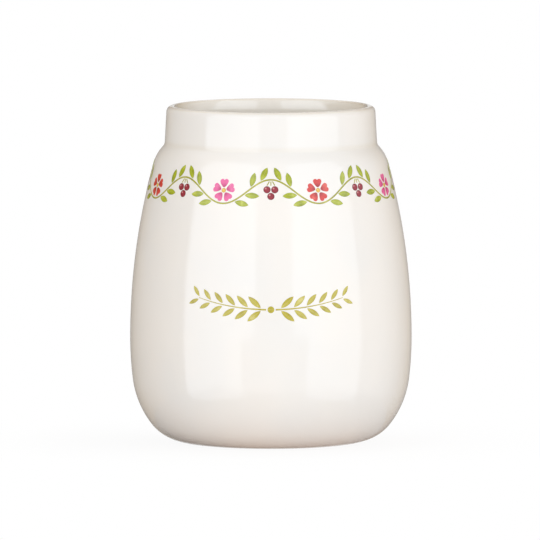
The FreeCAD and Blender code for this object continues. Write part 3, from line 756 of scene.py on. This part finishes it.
def glassy(finish):
    """The slow waves and fine orange peel of a fired glaze, which the inks in it share."""
    waves = finish.bump(finish.noise(SWELL_SIZE, SMOOTH_DETAIL), SWELL_RISE)
    return finish.bump(finish.noise(PEEL_SIZE, SMOOTH_DETAIL), PEEL_RISE, waves)


def glaze_finish():
    """Warm white glaze with a cloudy tone and a few faint specks.

    It is painted warmer where the pot is narrow, for bounce light; thin on the foot; thin with painted
    shade on the lip; and pooled, with painted shade, in the step.
    """
    finish = Finish("white_glaze")
    across, deep, height = finish.parts(finish.place())
    radius = (across * across + deep * deep).root()
    tone = finish.mix(finish.noise(CLOUD_SIZE).rise(*CLOUD_ENDS), WHITE_GLAZE, COOL_GLAZE)
    # Painted bounce light: the glaze is warmer where the pot is narrow, inside it and low by the foot
    narrow = radius.rise(*NARROW_ENDS)
    tone = finish.mix(narrow, tone, PAINTED_BOUNCE_GLAZE)

    patchy = finish.noise(PATCH_SIZE).rise(*PATCH_ENDS) * (1 - PATCH_LEAST) + PATCH_LEAST
    # On the lip the darker band is partly thin glaze and partly painted shade
    lip = height.rise(*LIP_THIN_AND_SHADE_ENDS) * LIP_THIN_AND_SHADE_SHARE
    foot = height.rise(*THIN_FOOT_ENDS) * radius.rise(*THIN_FOOT_RADII) * THIN_FOOT_SHARE
    tone = finish.mix(lip.most(foot) * patchy, tone, THIN_GLAZE_AND_LIP_SHADE)

    # In the step the glaze is darker: partly pooled glaze, partly painted shade
    step = 1 - abs(height - POOL_AND_SHADE_HEIGHT).rise(0, POOL_AND_SHADE_REACH)
    tone = finish.mix(step * radius.rise(*POOL_AND_SHADE_RADII) * POOL_AND_SHADE_SHARE, tone, POOLED_GLAZE_AND_STEP_SHADE)

    grains = finish.node("ShaderNodeTexVoronoi", {"feature": "F1"},
                         {"Vector": finish.place(), "Scale": 1 / SPECKS_APART})
    speckled = finish.noise(SPECKLED_SIZE, shift=SPECKLED_SHIFT).rise(*SPECKLED_ENDS)
    tone = finish.mix(grains.rise(*SPECK_ENDS) * speckled * SPECK_SHARE, tone, SPECK)
    roughness = GLAZE_ROUGHNESS + finish.noise(GLAZE_UNEVEN_SIZE) * GLAZE_UNEVEN
    return finish.surface(Base_Color=tone, Roughness=roughness, IOR=CERAMIC_IOR,
                          Coat_Weight=narrow * height.rise(*LIP_COAT_ENDS), Normal=glassy(finish))


def clay_finish():
    """Bare fired clay: buff, matt and grainy."""
    finish = Finish("bare_clay")
    grain = finish.noise(GRAIN_SIZE, GRAIN_DETAIL)
    tone = finish.mix(finish.noise(CLAY_CLOUD_SIZE).rise(*CLAY_CLOUD_ENDS), BUFF_CLAY, DARK_CLAY)
    tone = finish.mix(grain.rise(*GRAIN_ENDS) * GRAIN_SHARE, tone, GRAIN_CLAY)
    return finish.surface(Base_Color=tone, Roughness=CLAY_ROUGHNESS + grain * CLAY_UNEVEN, IOR=CERAMIC_IOR,
                          Normal=finish.bump(grain, GRAIN_RISE))


def ink_surface(finish, tone):
    """Ink fired into the glaze, nearly as glossy as it."""
    roughness = INK_ROUGHNESS + finish.noise(INK_UNEVEN_SIZE) * INK_UNEVEN
    return finish.surface(Base_Color=tone, Roughness=roughness, IOR=CERAMIC_IOR, Normal=glassy(finish))


def wash(finish, deep, middle, pale, size, shift):
    """A watercolour wash that runs from a deep through a middle to a pale tone."""
    cloud = finish.noise(size, WASH_DETAIL, shift)
    tone = finish.mix(cloud.rise(*WASH_DEEP_ENDS), deep, middle)
    return finish.mix(cloud.rise(*WASH_PALE_ENDS), tone, pale)


def leaf_finish(name, tones, shift):
    """Leaves with a pale midrib and a deeper rim where the wash dried."""
    finish = Finish(name)
    deep, middle, pale = tones
    along, across = finish.along_print()
    tone = wash(finish, deep, middle, pale, LEAF_WASH_SIZE, shift)
    outline = (along * (1 - along) * 4).most(LEAF_LEAST)
    rim = (abs(across) / outline).rise(*LEAF_RIM_ENDS)
    tone = finish.mix(rim * LEAF_RIM_SHARE, tone, deep)
    rib = (abs(across) - (1 - along) * RIB_TAPER).rise(*RIB_ENDS) * along.rise(*RIB_TIP_ENDS)
    return ink_surface(finish, finish.mix(rib * RIB_SHARE, tone, pale))


def petal_finish(name, tones, shift):
    """Petals that are deep at the eye and paler outside, with brushed streaks."""
    finish = Finish(name)
    deep, middle, pale = tones
    along, across = finish.along_print()
    tone = wash(finish, middle, middle, pale, PETAL_WASH_SIZE, shift)
    fan = across / along.most(FAN_LEAST)
    streaks = finish.node("ShaderNodeTexNoise", {"noise_dimensions": "1D"},
                          {"W": fan * STREAKS + shift, "Scale": 1.0, "Detail": STREAK_DETAIL})
    root = (along + (streaks - STREAK_MIDDLE) * STREAK_REACH).rise(*PETAL_ROOT_ENDS)
    tone = finish.mix(root * PETAL_ROOT_SHARE, tone, deep)
    edge = along.rise(*PETAL_EDGE_ENDS) * PETAL_EDGE_SHARE
    return ink_surface(finish, finish.mix(edge, tone, pale))


def round_finish(name, tones, shift):
    """Round spots with a deeper rim and a pale spark on the upper left."""
    finish = Finish(name)
    middle, rim, spark = tones
    along, across = finish.along_print()
    tone = finish.mix((along * along + across * across).root().rise(*SPOT_RIM_ENDS), middle, rim)
    mottle = finish.noise(MOTTLE_SIZE, shift=shift).rise(*MOTTLE_ENDS)
    tone = finish.mix(mottle * MOTTLE_SHARE, tone, rim)
    side, top = along + SPARK_LEFT, across - SPARK_UP
    glint = (side * side + top * top).root().rise(*SPARK_ENDS)
    return ink_surface(finish, finish.mix(glint * SPARK_SHARE, tone, spark))


def stem_finish(name, tones, shift):
    """Stems, uneven as drawn with a brush."""
    finish = Finish(name)
    return ink_surface(finish, wash(finish, *tones, STEM_WASH_SIZE, shift))


def dress(piece, material, slot, *nodes):
    """Finishes a piece: its material, the body that it rides on and the nodes that it stands for."""
    piece.data.materials.clear()
    piece.data.materials.append(material)
    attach(piece, "root")
    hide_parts(*nodes)


pot = glaze_coat()
white_glaze = glaze_finish()
dress(pot, white_glaze, "glaze", "outer_glaze", "inner_glaze")
dress(clay_pot(), clay_finish(), "clay", "clay_body")
dress(base_disc(), white_glaze, "glaze", "base_glaze")

# A shift of its own gives each ink its own clouds
leaf_ink = leaf_finish("lime_leaf_ink", LIME_TONES, shift=2.3)
sprig_ink = leaf_finish("olive_gold_ink", GOLD_TONES, shift=4.1)
red_ink = petal_finish("red_petal_ink", RED_TONES, shift=3.2)
pink_ink = petal_finish("pink_petal_ink", PINK_TONES, shift=5.4)
eye_ink = round_finish("yellow_eye_ink", YELLOW_TONES, shift=0.7)
berry_ink = round_finish("maroon_berry_ink", MAROON_TONES, shift=6.1)
stem_ink = stem_finish("olive_stem_ink", OLIVE_TONES, shift=1.7)
for prints, ink, slot, node in (
        (garland_stems(), stem_ink, "stem_ink", "stem_print"),
        (garland_leaves(), leaf_ink, "leaf_ink", "leaf_print"),
        (petals("red_petals", TROUGHS[0::2]), red_ink, "red_ink", "red_petal_print"),
        (petals("pink_petals", TROUGHS[1::2]), pink_ink, "pink_ink", "pink_petal_print"),
        (blossom_eyes(), eye_ink, "eye_ink", "blossom_eye_print"),
        (berries(), berry_ink, "berry_ink", "berry_print"),
        (front_sprig(), sprig_ink, "sprig_ink", "sprig_print")):
    lay_on(prints, pot)
    dress(prints, ink, slot, node)


# The studio: a white floor, soft boxes in front, a light overhead, and cards that only reflections show
VIEW_DISTANCE = 7.0
VIEW_LIFT = math.radians(4.93)
VIEW_AIM = Vector((-0.00045, 0, 0.08682))
VIEW_LENS = 925.5
VIEW_REACH = 4 * VIEW_DISTANCE
WHITE = (1.0, 1.0, 1.0, 1.0)
BLACK = (0.0, 0.0, 0.0, 1.0)
AMBIENT = 0.492
WARM_LIGHT = (1.083, 0.932, 0.79, 1.0)

# The floor, and its glow on the pot
FLOOR_SIZE = 8.0
FLOOR_TONE = linear(196, 193, 191)
SHADOW_NEAR, SHADOW_FAR = 0.05, 0.16
SHADOW_WHITE = 0.94
GLOW_NEAR, GLOW_FAR = 0.055, 0.10
FOOT_GLOW = (0.21, 0.14, 0.105, 1.0)
FRONT_GLOW = (0.445, 0.44, 0.445, 1.0)
BACK_GLOW = (0.62, 0.66, 0.74, 1.0)
RIGHT_GLOW_SHARE, LEFT_GLOW_SHARE = 0.8, 0.1

# The soft boxes: a side, then the azimuths in degrees of its outer edge, inner edge and low inner edge
SOFT_BOXES = (("left", -73, -13, -24), ("right", 77, 18, 30))
BOX_DISTANCE = 1.1
BOX_TOP, BOX_FOOT = 1.35, -0.57
BOX_WATTS_PER_SQUARE = 3.82
COOL_LIGHT = (0.832, 0.938, 1.062)
TOP_LIGHT_SIZE = 2.0
TOP_LIGHT_WATTS = 4.2

# The side cards: a side, its azimuth and width, and where the card turns white at an edge and greyer behind
SIDE_CARDS = (("left", math.radians(-125), 2.99, None, (-0.55, -1.05)),
              ("right", math.radians(135.25), 2.125, (0.15, -1.5), (0.5, 0.9)))
CARD_SIZE = 3.0
CARD_DISTANCE = 1.3
CARD_HEIGHT = 0.5
BACK_CARD_WIDTH = 0.28
ALONG_CARD, UP_CARD = 0, 1
SIDE_FADE = (0.2, 1.3)
BACK_FADE = (-CARD_SIZE / 2, CARD_SIZE / 2)
UNDER_FADE = (-0.3, 0.3)
SIDE_TONES = ((0.33, 0.24, 0.13, 1.0), WHITE)
SIDE_BACK_TONE = (0.30, 0.26, 0.22, 1.0)
BACK_TONES = ((0.84, 0.84, 0.84, 1.0), (0.64, 0.64, 0.64, 1.0))
UNDER_TONES = ((0.15, 0.145, 0.14, 1.0), (0.42, 0.41, 0.40, 1.0))


def white_floor():
    """A white floor that keeps a soft shadow round the pot and glows on it, least from the left.

    Reflections look through it, to the low soft boxes and the card below.
    """
    deselect()
    bpy.ops.mesh.primitive_plane_add(size=FLOOR_SIZE, location=(0, 0, 0))
    floor = bpy.context.object
    floor.name = floor.data.name = "floor"
    floor.visible_glossy = False
    finish = Finish("white_floor")
    across, deep, _ = finish.parts(finish.place())
    away = (across * across + deep * deep).root().most(SHADOW_NEAR)
    back, front = (deep / away).most(0), (deep * -1 / away).most(0)
    left, right = (across * -1 / away).most(0), (across / away).most(0)
    shine = finish.mix(away.rise(GLOW_NEAR, GLOW_FAR), FOOT_GLOW, FRONT_GLOW)
    share = front * front + right * right * RIGHT_GLOW_SHARE + left * left * LEFT_GLOW_SHARE
    shine = finish.mix(share, BLACK, shine)
    shine = finish.mix(back * back, shine, BACK_GLOW)
    matt = finish.node("ShaderNodeBsdfDiffuse", inputs={"Color": FLOOR_TONE})
    glow = finish.node("ShaderNodeEmission", inputs={"Color": shine, "Strength": 1.0})
    lit = finish.node("ShaderNodeAddShader", inputs={0: matt, 1: glow})
    white = finish.node("ShaderNodeEmission", inputs={"Color": WHITE, "Strength": 1.0})
    open_floor = away.rise(SHADOW_NEAR, SHADOW_FAR) * (1 - SHADOW_WHITE) + SHADOW_WHITE
    seen = finish.seen_directly() * open_floor
    both = finish.node("ShaderNodeMixShader", inputs={0: seen, 1: lit, 2: white})
    floor.data.materials.append(finish.end(both))


def white_surroundings():
    """White all round to the eye and in reflections, with plain soft light from every side."""
    world = bpy.data.worlds.new("studio")
    world.use_nodes = True
    bpy.context.scene.world = world
    nodes = Nodes(world.node_tree)
    light = nodes.node("ShaderNodeBackground", inputs={"Color": WARM_LIGHT, "Strength": AMBIENT})
    white = nodes.node("ShaderNodeBackground", inputs={"Color": WHITE, "Strength": 1.0})
    sky = nodes.node("ShaderNodeMixShader", inputs={0: nodes.seen_directly(), 1: light, 2: white})
    nodes.node("ShaderNodeOutputWorld", inputs={"Surface": sky})


def beside(azimuth, distance, height):
    """A place round the pot; azimuth 0 is the front."""
    return Vector((math.sin(azimuth) * distance, -math.cos(azimuth) * distance, height))


def soft_box(name, edges, foot, top):
    """A tall soft box that faces the pot, between two azimuths in degrees."""
    deselect()
    first, last = (math.radians(edge) for edge in edges)
    azimuth, wide = (first + last) / 2, 2 * BOX_DISTANCE * math.tan(abs(last - first) / 2)
    middle = beside(azimuth, BOX_DISTANCE, (top + foot) / 2)
    bpy.ops.object.light_add(type="AREA", location=middle, rotation=(RIGHT_ANGLE, 0, azimuth))
    box = bpy.context.object
    box.name = name
    box.visible_camera = False
    box.data.shape = "RECTANGLE"
    box.data.size, box.data.size_y = wide, top - foot
    box.data.energy = BOX_WATTS_PER_SQUARE * wide * (top - foot)
    box.data.color = COOL_LIGHT


def top_light():
    """A broad soft light overhead, which reflections don't show."""
    deselect()
    bpy.ops.object.light_add(type="AREA", location=(0, 0, TOP_LIGHT_SIZE))
    light = bpy.context.object
    light.name = "top_light"
    light.visible_camera = light.visible_glossy = False
    light.data.shape = "SQUARE"
    light.data.size = TOP_LIGHT_SIZE
    light.data.energy = TOP_LIGHT_WATTS


def grey_card(name, place, turn, wide, axis, ends, tones, edge=None, back=None):
    """A card that only reflections show, softly shaded along one axis between two tones.

    It may turn to the second tone at an edge too, and the first tone may turn greyer at its back end.
    """
    deselect()
    bpy.ops.mesh.primitive_plane_add(size=CARD_SIZE, location=place, rotation=turn)
    card = bpy.context.object
    card.name = card.data.name = name
    card.scale.x = wide / CARD_SIZE
    card.visible_camera = card.visible_diffuse = card.visible_shadow = False
    finish = Finish(name)
    places = finish.parts(finish.place())
    share = places[axis].rise(*ends)
    first, second = tones
    if edge:
        share = share.most(places[ALONG_CARD].rise(*edge))
    if back:
        first = finish.mix(places[ALONG_CARD].rise(*back), first, SIDE_BACK_TONE)
    shade = finish.mix(share, first, second)
    glow = finish.node("ShaderNodeEmission", inputs={"Color": shade, "Strength": 1.0})
    card.data.materials.append(finish.end(glow))


def front_camera():
    """The camera, far in front of the pot and a little above it."""
    deselect()
    away = Vector((0, -math.cos(VIEW_LIFT), math.sin(VIEW_LIFT))) * VIEW_DISTANCE
    bpy.ops.object.camera_add(location=VIEW_AIM + away, rotation=(RIGHT_ANGLE - VIEW_LIFT, 0, 0))
    camera = bpy.context.object
    camera.data.lens = VIEW_LENS
    camera.data.clip_end = VIEW_REACH
    bpy.context.scene.camera = camera


white_floor()
white_surroundings()
top_light()
for side, outer, inner, low_inner in SOFT_BOXES:
    soft_box(f"{side}_soft_box", (outer, inner), 0, BOX_TOP)
    soft_box(f"low_{side}_soft_box", (outer, low_inner), BOX_FOOT, 0)
for side, azimuth, wide, edge, back in SIDE_CARDS:
    grey_card(f"{side}_card", beside(azimuth, CARD_DISTANCE, CARD_HEIGHT), (RIGHT_ANGLE, 0, azimuth),
              wide, UP_CARD, SIDE_FADE, SIDE_TONES, edge, back)
grey_card("back_card", beside(math.pi, CARD_DISTANCE, CARD_HEIGHT), (RIGHT_ANGLE, 0, math.pi),
          BACK_CARD_WIDTH, ALONG_CARD, BACK_FADE, BACK_TONES)
grey_card("under_card", Vector((0, 0, BOX_FOOT)), (0, 0, 0),
          CARD_SIZE, ALONG_CARD, UNDER_FADE, UNDER_TONES)
front_camera()
bpy.context.scene.view_settings.view_transform = "Standard"
